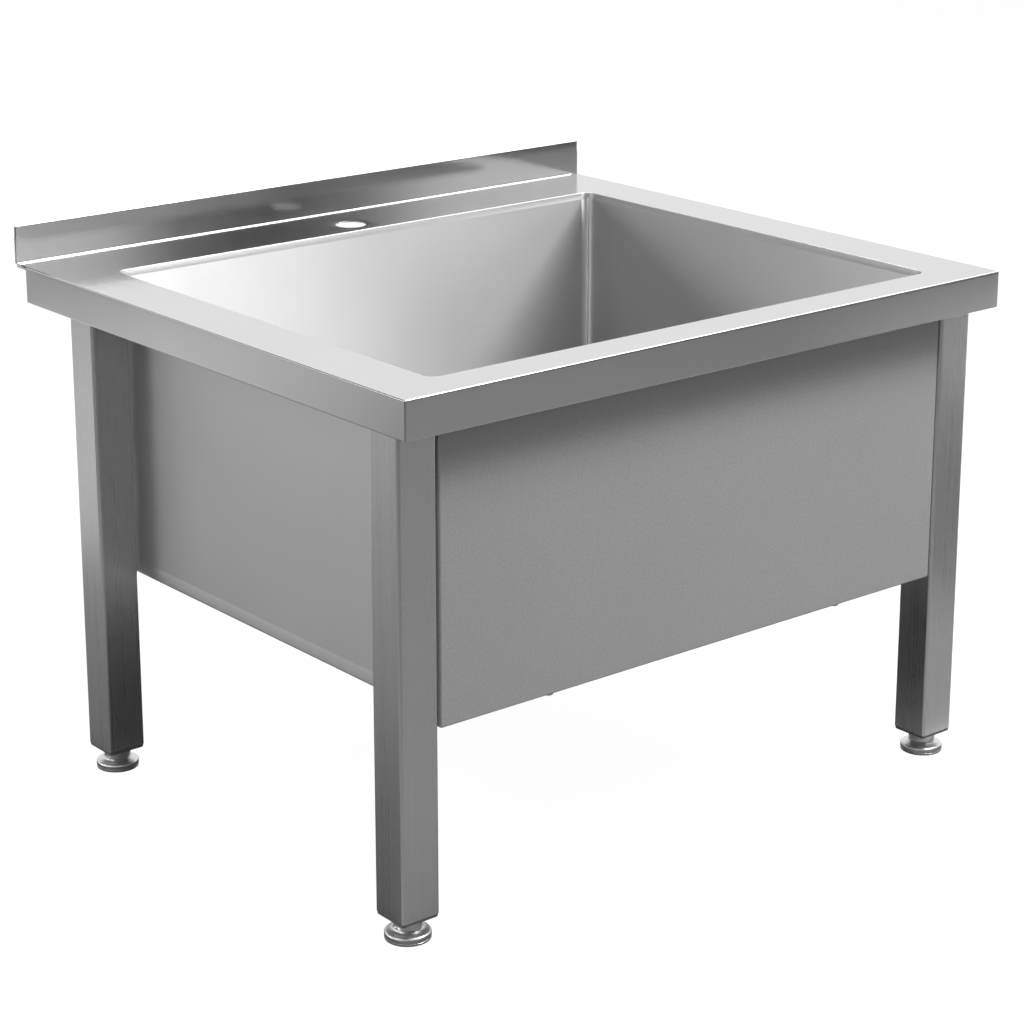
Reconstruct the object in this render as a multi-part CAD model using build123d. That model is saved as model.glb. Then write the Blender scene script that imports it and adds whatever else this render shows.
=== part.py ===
from build123d import *
import os

# A low stainless steel laundry sink: one deep bowl in a folded worktop on four tube legs.
# Millimetres, +Z up, origin on the floor under the middle of the footprint.
# +X is the right-hand side, +Y the wall side, and the front apron faces -Y.

# ------------------------------------------------------------ driving dimensions
WIDTH = 800.0              # worktop, left to right
DEPTH = 700.0              # worktop, front apron to the back of the upstand
DECK = 560.0               # floor to the top of the worktop
UPSTAND = 42.0             # wall upstand above the worktop
APRON = 40.0               # front and side aprons, measured down from the top
LIP = 10.0                 # return folded inwards at the foot of each apron
APRON_BACK_GAP = 22.0      # the side aprons stop this far ahead of the wall
SHEET = 1.5                # worktop and bowl sheet
BEND = 2.5                 # outside radius of the folded edges
HEM = 3.2                  # thickness of the hemmed edge of the upstand
HEM_WIDTH = 12.0           # how far the hem is folded back

BOWL_WIDTH = 670.0         # clear opening, left to right
FRONT_RIM = 46.0           # worktop ahead of the opening
BACK_RIM = 100.0           # worktop behind the opening
BOWL_DEPTH = 335.0         # worktop down to the floor of the bowl at its walls
CORNER = 12.0              # inside radius of the bowl's upright corners
FLOOR_BEND = 3.0           # inside radius between walls and floor
FLOOR_FALL = 5.0           # fall of the floor towards the waste
COLLAR = 8.0               # turned-down edge of the opening that the bowl is welded to

TAP_HOLE = 36.0            # diameter of the hole in the rear of the worktop
TAP_FROM_WALL = 68.0       # centre of the tap hole from the back of the upstand

LEG = 45.0                 # square leg tube
LEG_WALL = 1.5
LEG_CORNER = 3.5           # outside radius of the tube
LEG_SIDE_INSET = 12.0      # leg's outer face inside the side apron's face
LEG_FRONT_INSET = 28.0     # front leg's face behind the front apron's face
LEG_BACK_INSET = 90.0      # back leg's rear face ahead of the wall
LEG_BOTTOM = 27.0          # floor to the lower end of the tube

PAD = 46.6                 # diameter of the foot
PAD_RIM = 6.5              # height of the straight rim of the foot
NECK = 29.0                # diameter of the turned neck above the pad
SPINDLE = 12.0             # diameter of the levelling spindle
RUNNING = 0.05             # radial clearance of the turning and sliding fits
SWEEP = 0.3                # gap between pieces that move past each other

PANEL_BOTTOM = 218.0       # lower edge of the front panel above the floor
PANEL_GAP = 3.0            # shadow gap between the panel and each front leg
PANEL_SHEET = 1.2
PANEL_FOLD = 12.0          # depth of the panel's folded edges

WASTE_HOLE = 88.0          # hole in the bowl for the waste
FLANGE = 112.0             # diameter of the waste flange
DISH = 82.0                # outside diameter of the flange's dish
DISH_DEPTH = 24.0
DRAIN_HOLE = 13.0          # eight of these round the dish's floor
DRAIN_RING = 24.0          # radius of their circle
CENTRE_SCREW = 8.0
BODY_CUP = 98.0            # outside diameter of the cup under the bowl
BODY_WALL = 3.0
OUTLET = 47.8              # outside diameter of the waste's threaded outlet
OUTLET_WALL = 3.4
BASKET = 74.0              # outside diameter of the strainer basket's cup
BASKET_SLOTS = 10          # drain slots round it
BASKET_HOLES = 8           # drain holes in its floor

# ------------------------------------------------------------ positions worked out from them
FRONT = -DEPTH / 2
WALL = DEPTH / 2
BOWL_LENGTH = DEPTH - FRONT_RIM - BACK_RIM
BOWL_Y = FRONT + FRONT_RIM + BOWL_LENGTH / 2
UNDER_DECK = DECK - SHEET
UPSTAND_Y = WALL - HEM
UPSTAND_FOLD = UPSTAND_Y - BEND - 1.0
FLOOR_Z = DECK - BOWL_DEPTH
SEAM_Z = FLOOR_Z + 15.0    # weld between the bowl's wall and its floor pan
LEG_X = WIDTH / 2 - LEG_SIDE_INSET - LEG / 2
LEG_Y_FRONT = FRONT + LEG_FRONT_INSET + LEG / 2
LEG_Y_BACK = WALL - LEG_BACK_INSET - LEG / 2
PANEL_Y = FRONT + LEG_FRONT_INSET + 0.5
PANEL_WIDTH = 2 * (LEG_X - LEG / 2 - PANEL_GAP)
CORNERS = {
    "front_left": (-LEG_X, LEG_Y_FRONT),
    "front_right": (LEG_X, LEG_Y_FRONT),
    "back_left": (-LEG_X, LEG_Y_BACK),
    "back_right": (LEG_X, LEG_Y_BACK),
}

WELL_Z = FLOOR_Z - FLOOR_FALL      # floor beside the waste
RECESS_Z = WELL_Z - 3.0            # seat that the waste flange lies in
RECESS = FLANGE + 6.0              # diameter of that seat
SEAL = 1.0                         # thickness of the upper waste seal
FLANGE_SHEET = 1.2


# ------------------------------------------------------------ helpers for folded sheet and turned parts
def rounded_block(x_size, y_size, low, high, radius, y=0.0):
    """An upright block with rounded corners."""
    return extrude(Plane.XY.offset(low) * Pos(0, y) * RectangleRounded(x_size, y_size, radius), high - low)


def block(x_low, x_high, y_low, y_high, z_low, z_high):
    """A plain block between two corners."""
    size = (x_high - x_low, y_high - y_low, z_high - z_low)
    middle = ((x_low + x_high) / 2, (y_low + y_high) / 2, (z_low + z_high) / 2)
    return Pos(*middle) * Box(*size)


def folded(points, thickness, radius, side=Side.LEFT):
    """Section of a folded sheet: a line with rounded bends, given a thickness to one side."""
    line = FilletPolyline(*points, radius=radius)
    return make_face(offset(line, amount=thickness, side=side))


def bar_along_x(section, x_low, x_high):
    """A section drawn as (Y, Z), drawn out between two X positions."""
    return Pos(x_low, 0, 0) * extrude(Plane.YZ * section, x_high - x_low)


def disc(diameter, low, high, x=0.0, y=0.0):
    """An upright cylinder between two heights."""
    return Pos(x, y, (low + high) / 2) * Cylinder(diameter / 2, high - low)


def turned(points):
    """A solid turned about Z from a section drawn as (radius, height)."""
    return revolve(Plane.XZ * make_face(Polyline(*points, close=True)), Axis.Z)


def hexagon_head(across_flats, thickness):
    """A hexagon head with its washer side at Z = 0."""
    head = extrude(RegularPolygon(across_flats / 2, 6, major_radius=False), thickness)
    crown = Pos(0, 0, thickness / 2) * Cone(across_flats * 0.72, across_flats * 0.5, thickness)
    return head & crown


# ------------------------------------------------------------ worktop
def worktop_tray():
    """Deck with its front and side aprons and the lips folded inwards below them."""
    low = DECK - APRON
    tray = block(-WIDTH / 2, WIDTH / 2, FRONT, UPSTAND_FOLD, low, DECK)
    tray = fillet(tray.edges().filter_by(Axis.Z).group_by(Axis.Y)[0], BEND)
    top_edges = tray.faces().sort_by(Axis.Z)[-1].edges().sort_by(Axis.Y)[:-1]
    tray = fillet(top_edges, BEND)
    inner = WIDTH / 2 - SHEET
    hollow = block(-inner, inner, FRONT + SHEET, WALL + 1, low + SHEET, UNDER_DECK)
    hollow = fillet(hollow.faces().sort_by(Axis.Z)[-1].edges().sort_by(Axis.Y)[:-1], BEND - SHEET)
    mouth = block(-WIDTH / 2 + LIP, WIDTH / 2 - LIP, FRONT + LIP, WALL + 1, low - 1, low + 2 * SHEET)
    tray -= hollow + mouth
    rear_cut = block(-WIDTH, WIDTH, WALL - APRON_BACK_GAP, WALL + 1, low - 1, DECK - BEND)
    return tray - rear_cut


def wall_upstand():
    """Rear edge folded up against the wall, hemmed along its top and both ends."""
    top = DECK + UPSTAND
    section = folded([(UPSTAND_FOLD, DECK), (UPSTAND_Y, DECK), (UPSTAND_Y, top)], SHEET, BEND, Side.RIGHT)
    sheet = bar_along_x(section, -WIDTH / 2, WIDTH / 2)
    hem = block(-WIDTH / 2, WIDTH / 2, UPSTAND_Y, WALL, DECK, top)
    half = WIDTH / 2 - HEM_WIDTH
    hem -= block(-half, half, UPSTAND_Y - 1, WALL + 1, DECK - 1, top - HEM_WIDTH)
    sheet += hem
    rim = sheet.faces().sort_by(Axis.Z)[-1].edges().filter_by(Axis.X)
    sheet = fillet(rim, HEM / 2 - 0.2)
    return sheet


def worktop():
    """Folded worktop: aprons, upstand, tap hole, and the opening with its turned-down collar."""
    top = worktop_tray() + wall_upstand()
    collar_low = DECK - COLLAR
    top += rounded_block(BOWL_WIDTH + 2 * SHEET, BOWL_LENGTH + 2 * SHEET, collar_low, UNDER_DECK,
                         CORNER + SHEET, BOWL_Y)
    top -= rounded_block(BOWL_WIDTH, BOWL_LENGTH, collar_low - 1, DECK + 1, CORNER, BOWL_Y)
    deck_edges = top.edges().filter_by_position(Axis.Z, DECK - 0.01, DECK + 0.01)
    brim = deck_edges.filter_by_position(Axis.X, -BOWL_WIDTH / 2 - 1, BOWL_WIDTH / 2 + 1)
    brim = brim.filter_by_position(Axis.Y, BOWL_Y - BOWL_LENGTH / 2 - 1, BOWL_Y + BOWL_LENGTH / 2 + 1)
    top = fillet(brim, BEND)
    return top - disc(TAP_HOLE, UNDER_DECK - 1, DECK + 1, 0, WALL - TAP_FROM_WALL)


# ------------------------------------------------------------ bowl
def bowl_wall():
    """Four walls bent from one strip and closed by an upright weld at a rear corner."""
    outside = rounded_block(BOWL_WIDTH + 2 * SHEET, BOWL_LENGTH + 2 * SHEET, SEAM_Z, DECK - COLLAR,
                            CORNER + SHEET, BOWL_Y)
    inside = rounded_block(BOWL_WIDTH, BOWL_LENGTH, SEAM_Z - 1, DECK, CORNER, BOWL_Y)
    return outside - inside


def pan_form(grow):
    """The floor pan's surface as a solid, grown by the sheet thickness for its outside."""
    low = FLOOR_Z - grow
    tub = rounded_block(BOWL_WIDTH + 2 * grow, BOWL_LENGTH + 2 * grow, low, SEAM_Z + 1,
                        CORNER + grow, BOWL_Y)
    tub = fillet(tub.faces().sort_by(Axis.Z)[0].edges(), FLOOR_BEND + grow)
    brim = Plane.XY.offset(low) * Pos(0, BOWL_Y) * Rectangle(BOWL_WIDTH - 3 * CORNER, BOWL_LENGTH - 3 * CORNER)
    well = Plane.XY.offset(low - FLOOR_FALL) * Pos(0, BOWL_Y) * Rectangle(RECESS + 6, RECESS + 6)
    creased = loft([brim, well], ruled=True)
    return tub + creased + disc(RECESS + 2 * grow, RECESS_Z - grow, FLOOR_Z, 0, BOWL_Y)


def bowl_floor():
    """Pressed floor pan: rounded up to the walls, creased to fall to the waste, with its seat and hole."""
    pan = pan_form(SHEET) - pan_form(0)
    pan -= block(-WIDTH, WIDTH, -DEPTH, DEPTH, SEAM_Z, DECK)
    return pan - disc(WASTE_HOLE, RECESS_Z - 3 * SHEET, FLOOR_Z, 0, BOWL_Y)


# ------------------------------------------------------------ waste
SEAT_TOP = RECESS_Z + SEAL
DISH_FLOOR = SEAT_TOP - DISH_DEPTH
BODY_TOP = RECESS_Z - SHEET - 2 * SEAL
BODY_FLOOR = DISH_FLOOR - 8.0
BODY_NECK = BODY_FLOOR - 12.0
OUTLET_LOW = BODY_NECK - 30.0


def waste_seal(low, thickness):
    """Flat rubber ring round the waste hole."""
    ring = disc(FLANGE - 2, low, low + thickness) - disc(WASTE_HOLE + 2, low - 1, low + thickness + 1)
    return Pos(0, BOWL_Y, 0) * ring


def waste_flange():
    """Pressed flange and dish that the basket sits in, with a ring of drain holes and a centre hole."""
    rim = FLANGE / 2
    dish = DISH / 2
    t = FLANGE_SHEET
    form = turned([
        (0, DISH_FLOOR - t), (dish - 4, DISH_FLOOR - t), (dish, DISH_FLOOR + 3), (dish, SEAT_TOP - 1),
        (dish + 1, SEAT_TOP), (rim, SEAT_TOP), (rim, SEAT_TOP + t), (dish - 1, SEAT_TOP + t),
        (dish - t, SEAT_TOP), (dish - t, DISH_FLOOR + 3.5), (dish - 4.5, DISH_FLOOR), (0, DISH_FLOOR),
    ])
    drain = Pos(0, 0, DISH_FLOOR) * Cylinder(DRAIN_HOLE / 2, 4 * t)
    form -= [place * drain for place in PolarLocations(DRAIN_RING, 8)]
    form -= disc(CENTRE_SCREW + 0.4, DISH_FLOOR - 2 * t, DISH_FLOOR + t)
    return Pos(0, BOWL_Y, 0) * form


def waste_body():
    """Moulded cup under the bowl, narrowing to its neck, with a spider for the centre screw."""
    rim = FLANGE / 2
    cup = BODY_CUP / 2
    pipe = OUTLET / 2
    bore = pipe - OUTLET_WALL
    shell = turned([
        (pipe, BODY_NECK), (cup, BODY_FLOOR), (cup, BODY_TOP - 4), (rim, BODY_TOP - 4), (rim, BODY_TOP),
        (cup - BODY_WALL, BODY_TOP), (cup - BODY_WALL, BODY_FLOOR + 1), (bore, BODY_NECK + 2), (bore, BODY_NECK),
    ])
    spider = disc(CENTRE_SCREW + 7, BODY_NECK, BODY_FLOOR + 5)
    spoke = block(0, bore + 2, -BODY_WALL / 2, BODY_WALL / 2, BODY_NECK, BODY_FLOOR - 2)
    for turn in range(4):
        spider += Rot(0, 0, 90 * turn) * spoke
    spider -= disc(CENTRE_SCREW, BODY_NECK - 1, BODY_FLOOR + 6)
    return Pos(0, BOWL_Y, 0) * (shell + spider)


def waste_tail():
    """Outlet tube welded to the cup's neck, which the trap's union nut screws onto."""
    tube = disc(OUTLET, OUTLET_LOW, BODY_NECK) - disc(OUTLET - 2 * OUTLET_WALL, OUTLET_LOW - 1, BODY_NECK + 1)
    return Pos(0, BOWL_Y, 0) * tube


def waste_screw():
    """Slotted centre screw that draws the flange and the body together on the bowl."""
    head = disc(14, DISH_FLOOR, DISH_FLOOR + 3.2)
    head = fillet(head.edges().group_by(Axis.Z)[-1], 1.2)
    head -= block(-8, 8, -0.8, 0.8, DISH_FLOOR + 1.8, DISH_FLOOR + 5)
    shank = disc(CENTRE_SCREW, BODY_NECK, DISH_FLOOR)
    return Pos(0, BOWL_Y, 0) * (head + shank)


def strainer_basket():
    """Lift-out basket: a perforated cup with a rolled rim, a stem and a finger knob."""
    t = 0.8
    cup = BASKET / 2
    low = DISH_FLOOR + 4.2
    high = SEAT_TOP + FLANGE_SHEET + SWEEP
    form = turned([
        (0, low), (cup - 4, low), (cup, low + 4), (cup, high), (cup + 5, high), (cup + 5, high + t),
        (cup - t, high + t), (cup - t, low + 4.4), (cup - 4.4, low + t), (2.5, low + t),
        (2.5, high - 5), (9, high - 3), (11, high + 0.5), (10, high + 2.2), (0, high + 2.6),
    ])
    slot = Pos(cup - 1, 0, (low + high) / 2) * Rot(0, 90, 0) * extrude(SlotOverall(14, 3.2), 3, both=True)
    for turn in range(BASKET_SLOTS):
        form -= Rot(0, 0, 360 * turn / BASKET_SLOTS) * slot
    hole = Pos(0, 0, low) * Cylinder(2.6, 4 * t)
    form -= [place * hole for place in PolarLocations(16, BASKET_HOLES)]
    return Pos(0, BOWL_Y, 0) * form


# ------------------------------------------------------------ legs and their fixings
STUB = LEG - 2 * LEG_WALL - 0.6    # outside of the stub that the tube is pushed onto
STUB_WALL = 3.0
SOCKET_PLATE = 3.0
STUB_LOW = DECK - APRON - 5.0
LEG_SCREW = 8.0
LEG_SCREW_HOLE = 8.2
SCREW_HEIGHTS = (STUB_LOW + 12.0, STUB_LOW + 28.0)


def square_tube(size, wall, corner, low, high):
    """An upright square tube with rounded corners."""
    outside = rounded_block(size, size, low, high, corner)
    return outside - rounded_block(size - 2 * wall, size - 2 * wall, low - 1, high + 1, corner - wall)


def inward(y):
    """Direction from a leg towards the middle of the sink along Y."""
    return 1 if y < 0 else -1


def leg_socket(x, y):
    """Plate welded under the deck with a square stub that the leg is pushed onto."""
    high = UNDER_DECK - SOCKET_PLATE
    plate = rounded_block(LEG + 6, LEG + 6, high, UNDER_DECK, 4)
    stub = square_tube(STUB, STUB_WALL, LEG_CORNER, STUB_LOW, high)
    socket = plate + stub
    for height in SCREW_HEIGHTS:
        drilled = Rot(90, 0, 0) * Cylinder(LEG_SCREW_HOLE / 2, 4 * STUB_WALL)
        socket -= Pos(0, inward(y) * STUB / 2, height) * drilled
    return Pos(x, y, 0) * socket


def leg(x, y):
    """Square tube leg, drilled near its top for the two locking screws."""
    tube = square_tube(LEG, LEG_WALL, LEG_CORNER, LEG_BOTTOM, UNDER_DECK - SOCKET_PLATE)
    for height in SCREW_HEIGHTS:
        drilled = Rot(90, 0, 0) * Cylinder(LEG_SCREW_HOLE / 2, 4 * LEG_WALL)
        tube -= Pos(0, inward(y) * LEG / 2, height) * drilled
    return Pos(x, y, 0) * tube


def leg_screws():
    """Hexagon screws that lock each leg on its stub, hidden behind the aprons."""
    head = hexagon_head(13, 5.3)
    screw = head + Pos(0, 0, -5.5) * Cylinder(LEG_SCREW / 2, 11)
    screws = []
    for x, y in CORNERS.values():
        for height in SCREW_HEIGHTS:
            place = Pos(x, y + inward(y) * LEG / 2, height) * Rot(-90 * inward(y), 0, 0)
            screws.append(place * screw)
    return Compound(children=screws)


INSERT_RIBS = 4
COLLAR_HEIGHT = 4.0        # the insert's collar, seen below the tube


def leg_insert(x, y):
    """Moulded plug in the foot of a leg, ribbed inside the tube, with a chamfered collar below it."""
    inner = LEG - 2 * LEG_WALL
    core = rounded_block(inner - 4, inner - 4, LEG_BOTTOM, LEG_BOTTOM + 25, 1)
    for rib in range(INSERT_RIBS):
        height = LEG_BOTTOM + 3 + 6 * rib
        core += rounded_block(inner - 0.1, inner - 0.1, height, height + 2, LEG_CORNER - LEG_WALL)
    collar = rounded_block(LEG - 1, LEG - 1, LEG_BOTTOM - COLLAR_HEIGHT, LEG_BOTTOM, LEG_CORNER)
    collar = chamfer(collar.faces().sort_by(Axis.Z)[0].edges(), 1.2)
    plug = core + collar - disc(SPINDLE + 2 * RUNNING, 0, DECK)
    return Pos(x, y, 0) * plug


# ------------------------------------------------------------ levelling feet
SOCKET_FLOOR = 5.0
PAD_TOP = 12.0
NECK_LOW = PAD_TOP + SWEEP
NECK_HIGH = LEG_BOTTOM - COLLAR_HEIGHT - SWEEP
SPINDLE_TOP = LEG_BOTTOM + 45.0


def foot_pad(x, y):
    """Turned stainless pad: a straight rim, a rounded shoulder and a hub with a socket for the spindle."""
    rim = PAD / 2
    hub = NECK / 2
    outline = (
        Polyline((0, 0), (rim - 1, 0), (rim, 1), (rim, PAD_RIM))
        + ThreePointArc((rim, PAD_RIM), (rim - 1.3, PAD_RIM + 1.9), (rim - 4, PAD_RIM + 2.6))
        + ThreePointArc((rim - 4, PAD_RIM + 2.6), (hub + 1.4, PAD_RIM + 3.7), (hub, PAD_TOP))
        + Polyline((hub, PAD_TOP), (0, PAD_TOP), (0, 0))
    )
    pad = revolve(Plane.XZ * make_face(outline), Axis.Z)
    pad -= disc(SPINDLE + 2 * RUNNING, SOCKET_FLOOR, PAD_TOP + 1)
    return Pos(x, y, 0) * pad


def foot_spindle(x, y):
    """Levelling spindle with the turned neck that is gripped to adjust the height."""
    radius = SPINDLE / 2
    hub = NECK / 2
    spindle = turned([
        (0, SOCKET_FLOOR), (radius, SOCKET_FLOOR), (radius, NECK_LOW), (hub - 0.5, NECK_LOW),
        (hub, NECK_LOW + 0.5), (hub, NECK_HIGH - 1), (hub - 1, NECK_HIGH), (radius, NECK_HIGH),
        (radius, SPINDLE_TOP - 1.5), (radius - 1.5, SPINDLE_TOP), (0, SPINDLE_TOP),
    ])
    flat = block(hub - 1.2, hub + 1, -hub, hub, NECK_LOW + 2, NECK_HIGH - 2)
    spindle -= flat + Rot(0, 0, 180) * flat
    return Pos(x, y, 0) * spindle


# ------------------------------------------------------------ front panel and its fixings
RAIL_HEIGHT = 25.0
RAIL_LOW = UNDER_DECK - RAIL_HEIGHT
FRONT_RAIL_DEPTH = 19.0
SIDE_RAIL_WIDTH = 32.0
PANEL_TOP = UNDER_DECK - 2.5
TOP_SCREWS_X = (-240.0, 0.0, 240.0)
BOTTOM_SCREWS_X = (-200.0, 200.0)
PANEL_SCREW = 5.0
PANEL_SCREW_HOLE = 5.2
LUG_SHEET = 2.0
LUG_WIDTH = 30.0
BOWL_FRONT = FRONT + FRONT_RIM - SHEET
TOP_SCREW_Z = RAIL_LOW + 10.0
BOTTOM_SCREW_Y = PANEL_Y + 7.5


def front_panel():
    """Pan-folded panel between the front legs, with rounded folds on all four edges."""
    half = PANEL_WIDTH / 2
    skin = block(-half, half, PANEL_Y, PANEL_Y + PANEL_FOLD, PANEL_BOTTOM, PANEL_TOP)
    skin = fillet(skin.faces().sort_by(Axis.Y)[0].edges(), 2)
    t = PANEL_SHEET
    inside = block(-half + t, half - t, PANEL_Y + t, WALL, PANEL_BOTTOM + t, PANEL_TOP - t)
    inside = fillet(inside.faces().sort_by(Axis.Y)[0].edges(), 2 - t)
    panel = skin - inside
    for x in TOP_SCREWS_X:
        panel -= Pos(x, PANEL_Y, TOP_SCREW_Z) * Rot(90, 0, 0) * Cylinder(PANEL_SCREW_HOLE / 2, 4 * t)
    for x in BOTTOM_SCREWS_X:
        panel -= disc(PANEL_SCREW_HOLE, PANEL_BOTTOM - 1, PANEL_BOTTOM + 2 * t, x, BOTTOM_SCREW_Y)
    return panel


def under_rail(x_low, x_high, y_low, y_high):
    """Inverted channel welded under the deck, its two walls hanging down."""
    section = folded([(y_low, RAIL_LOW), (y_low, UNDER_DECK), (y_high, UNDER_DECK), (y_high, RAIL_LOW)],
                     SHEET, BEND, Side.RIGHT)
    return bar_along_x(section, x_low, x_high)


def front_rail():
    """Stiffening channel behind the front apron, which the panel's top edge is screwed to."""
    end = LEG_X - LEG / 2 - 12
    rail = under_rail(-end, end, PANEL_Y - FRONT_RAIL_DEPTH, PANEL_Y)
    for x in TOP_SCREWS_X:
        rail -= Pos(x, PANEL_Y, TOP_SCREW_Z) * Rot(90, 0, 0) * Cylinder(PANEL_SCREW_HOLE / 2, 4 * SHEET)
    return rail


def side_rail(side):
    """Stiffening channel under a side of the deck, between the front and the back leg."""
    gap = LEG / 2 + 22
    length = LEG_Y_BACK - LEG_Y_FRONT - 2 * gap
    half = SIDE_RAIL_WIDTH / 2
    line = [(-half, RAIL_LOW), (-half, UNDER_DECK), (half, UNDER_DECK), (half, RAIL_LOW)]
    rail = extrude(Plane.XZ * folded(line, SHEET, BEND, Side.RIGHT), -length)
    return Pos(side * (LEG_X + 2), LEG_Y_FRONT + gap, 0) * rail


def panel_lug(x):
    """Angle welded to the front of the bowl that carries the panel's lower fold."""
    foot = PANEL_BOTTOM + PANEL_SHEET
    section = folded([(BOTTOM_SCREW_Y - 5, foot), (BOWL_FRONT, foot), (BOWL_FRONT, SEAM_Z + 16)],
                     LUG_SHEET, 3, Side.LEFT)
    lug = bar_along_x(section, x - LUG_WIDTH / 2, x + LUG_WIDTH / 2)
    return lug - disc(PANEL_SCREW_HOLE, foot - 1, foot + 2 * LUG_SHEET, x, BOTTOM_SCREW_Y)


def panel_screws():
    """Pan-head screws: three through the front rail, two up through the lower fold."""
    head = disc(9.2, 0, 3)
    head = fillet(head.edges().group_by(Axis.Z)[-1], 1.4)
    screw = head + Pos(0, 0, -4) * Cylinder(PANEL_SCREW / 2, 8)
    screws = [Pos(x, PANEL_Y - SHEET, TOP_SCREW_Z) * Rot(90, 0, 0) * screw for x in TOP_SCREWS_X]
    screws += [Pos(x, BOTTOM_SCREW_Y, PANEL_BOTTOM) * Rot(180, 0, 0) * screw for x in BOTTOM_SCREWS_X]
    return Compound(children=screws)


# ------------------------------------------------------------ earthing
TAG_HEIGHT = 100.0         # floor to the underside of the tag
TAG_SIZE = 20.0
TAG_SHEET = 2.0
TAG_HOLE = 6.6


def bonding_tag():
    """Small angle on the back right leg with a hole for the earth bonding cable."""
    x, y = CORNERS["back_right"]
    leg_back = y + LEG / 2
    line = [(leg_back, TAG_HEIGHT + TAG_SIZE + 2), (leg_back, TAG_HEIGHT), (leg_back + TAG_SIZE, TAG_HEIGHT)]
    tag = bar_along_x(folded(line, TAG_SHEET, 3, Side.LEFT), x - TAG_SIZE / 2, x + TAG_SIZE / 2)
    return tag - disc(TAG_HOLE, TAG_HEIGHT - 1, TAG_HEIGHT + 3, x, leg_back + 12)


# ------------------------------------------------------------ writing the pieces
def all_pieces():
    """Every piece in its place, by node name."""
    pieces = {
        "worktop": worktop(),
        "bowl_wall": bowl_wall(),
        "bowl_floor": bowl_floor(),
        "waste_seal_upper": waste_seal(RECESS_Z, SEAL),
        "waste_seal_lower": waste_seal(BODY_TOP, 2 * SEAL),
        "waste_flange": waste_flange(),
        "waste_body": waste_body(),
        "waste_tail": waste_tail(),
        "waste_screw": waste_screw(),
        "strainer_basket": strainer_basket(),
        "front_rail": front_rail(),
        "side_rail_left": side_rail(-1),
        "side_rail_right": side_rail(1),
        "front_panel": front_panel(),
        "panel_lug_left": panel_lug(BOTTOM_SCREWS_X[0]),
        "panel_lug_right": panel_lug(BOTTOM_SCREWS_X[1]),
        "panel_screws": panel_screws(),
        "leg_screws": leg_screws(),
        "bonding_tag": bonding_tag(),
    }
    for corner, (x, y) in CORNERS.items():
        pieces["leg_socket_" + corner] = leg_socket(x, y)
        pieces["leg_" + corner] = leg(x, y)
        pieces["leg_insert_" + corner] = leg_insert(x, y)
        pieces["foot_spindle_" + corner] = foot_spindle(x, y)
        pieces["foot_pad_" + corner] = foot_pad(x, y)
    return pieces


os.makedirs("parts", exist_ok=True)
for node, piece in all_pieces().items():
    export_step(piece, f"parts/{node}.step")
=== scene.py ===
import bmesh
import bpy
import math
from mathutils import Matrix, Vector


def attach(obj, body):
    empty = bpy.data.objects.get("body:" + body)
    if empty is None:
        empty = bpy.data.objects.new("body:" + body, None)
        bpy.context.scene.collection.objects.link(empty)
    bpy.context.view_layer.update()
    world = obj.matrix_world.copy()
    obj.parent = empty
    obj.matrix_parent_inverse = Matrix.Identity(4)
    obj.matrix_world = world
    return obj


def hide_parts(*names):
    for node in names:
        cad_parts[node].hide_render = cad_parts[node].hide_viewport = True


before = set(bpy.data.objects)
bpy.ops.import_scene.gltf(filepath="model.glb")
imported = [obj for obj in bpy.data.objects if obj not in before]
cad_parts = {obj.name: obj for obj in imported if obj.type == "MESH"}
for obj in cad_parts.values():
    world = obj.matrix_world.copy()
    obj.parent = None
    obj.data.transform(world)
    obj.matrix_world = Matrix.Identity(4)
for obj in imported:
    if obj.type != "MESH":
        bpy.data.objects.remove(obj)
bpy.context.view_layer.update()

# ------------------------------------------------------------------ worktop
# The top is one 1.5 mm stainless sheet, laser cut and folded on a press brake: aprons on three
# sides with a lip turned in below them, and an upstand against the wall, hemmed on its free edges.
# Its surface is satin, and the two front corners are welded and ground flush.
MM = 0.001
WIDTH, DEPTH, DECK = 800 * MM, 700 * MM, 560 * MM
APRON, LIP, UPSTAND = 40 * MM, 10 * MM, 42 * MM
SHEET, BEND, HEM, HEM_WIDTH = 1.5 * MM, 2.5 * MM, 3.2 * MM, 12 * MM
CREASE = 1.6 * MM
APRON_END = 328 * MM
UPSTAND_Y = DEPTH / 2 - HEM
BOWL_X, BOWL_FRONT, BOWL_BACK = 335 * MM, -304 * MM, 250 * MM
CORNER, COLLAR = 12 * MM, 8 * MM
TAP_Y, TAP_RADIUS, TAP_PATCH = 282 * MM, 18 * MM, 27 * MM


def near(value, target):
    """True within a hundredth of a millimetre."""
    return abs(value - target) < 1e-5


def cut(bm, axis, at):
    """Scores the whole mesh along a plane across one axis."""
    normal = Vector((axis == "x", axis == "y", axis == "z"))
    bmesh.ops.bisect_plane(bm, geom=bm.verts[:] + bm.edges[:] + bm.faces[:], plane_co=normal * at, plane_no=normal)


def edges_where(bm, test):
    """Edges whose two ends both pass a test on their position."""
    return [e for e in bm.edges if all(test(*v.co) for v in e.verts)]


def fold(bm, edges, move):
    """Draws a new strip of sheet out of some edges and gives its new vertices."""
    drawn = bmesh.ops.extrude_edge_only(bm, edges=edges)["geom"]
    corners = [g for g in drawn if isinstance(g, bmesh.types.BMVert)]
    bmesh.ops.translate(bm, verts=corners, vec=move)
    return corners


def round_ring(ring, x, y, radius):
    """Moves the points of a ring straight out or in to a circle about an upright axis."""
    for v in ring:
        reach = Vector((v.co.x - x, v.co.y - y)).normalized() * radius
        v.co.x, v.co.y = x + reach.x, y + reach.y


def round_off(bm, edges, radius, segments=5):
    """Rounds edges to a radius, as a press brake or a cutter leaves them."""
    bmesh.ops.bevel(bm, geom=edges, offset=radius, offset_type="OFFSET", segments=segments, profile=0.5,
                    affect="EDGES", material=-1, clamp_overlap=True)


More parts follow.
